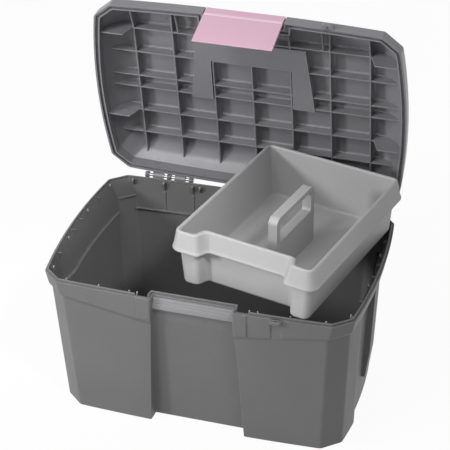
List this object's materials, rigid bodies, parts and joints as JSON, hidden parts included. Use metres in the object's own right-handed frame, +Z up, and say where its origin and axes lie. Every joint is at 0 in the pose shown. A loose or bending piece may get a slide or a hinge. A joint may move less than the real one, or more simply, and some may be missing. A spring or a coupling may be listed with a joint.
{
  "type": "grooming box",
  "caption": "Moulded grooming box with bowed walls, a ribbed hinged lid with a folding handle, a front latch and a lift-out tray with a hand slot",
  "frame": {"origin": "on the floor under the middle of the box", "axes": "+Z up, -Y out of the front with the latch, +X to the right seen from the front"},
  "size_m": [0.4026, 0.3047, 0.4695],
  "materials": {
    "body_grey": "satin moulded polypropylene",
    "lid_grey": "satin moulded polypropylene",
    "latch_pink": "smooth moulded plastic",
    "pin_steel": "drawn wire",
    "tray_grey": "satin moulded polypropylene"
  },
  "bodies": {
    "body": {"box_body": "body_grey", "hinge_pin_left": "pin_steel", "hinge_pin_right": "pin_steel"},
    "lid": {"lid": "lid_grey", "latch_pin": "pin_steel"},
    "latch": {"front_latch": "latch_pink"},
    "handle": {"carry_handle": "lid_grey"},
    "tray": {"tray": "tray_grey"}
  },
  "joints": [
    {"name": "lid_hinge", "type": "hinge", "parent": "body", "child": "lid", "pos_m": [0, 0.137, 0.19865], "axis": [1, 0, 0], "range_deg": [0, 80.5]},
    {"name": "latch_hinge", "type": "hinge", "parent": "lid", "child": "latch", "pos_m": [0, 0.10166, 0.46041], "axis": [-1, 0, 0], "range_deg": [-4, 95]},
    {"name": "handle_hinge", "type": "hinge", "parent": "lid", "child": "handle", "pos_m": [0, 0.14153, 0.34034], "axis": [-1, 0, 0], "range_deg": [0, 95]},
    {"name": "tray_lift", "type": "slide", "parent": "body", "child": "tray", "axis": [0, -0.9995, 0.03], "range_m": [0, 0.42]}
  ],
  "couplings": [
    {"joint": "tray_lift", "follows": "lid_hinge", "m_per_rad": 0.29892}
  ]
}
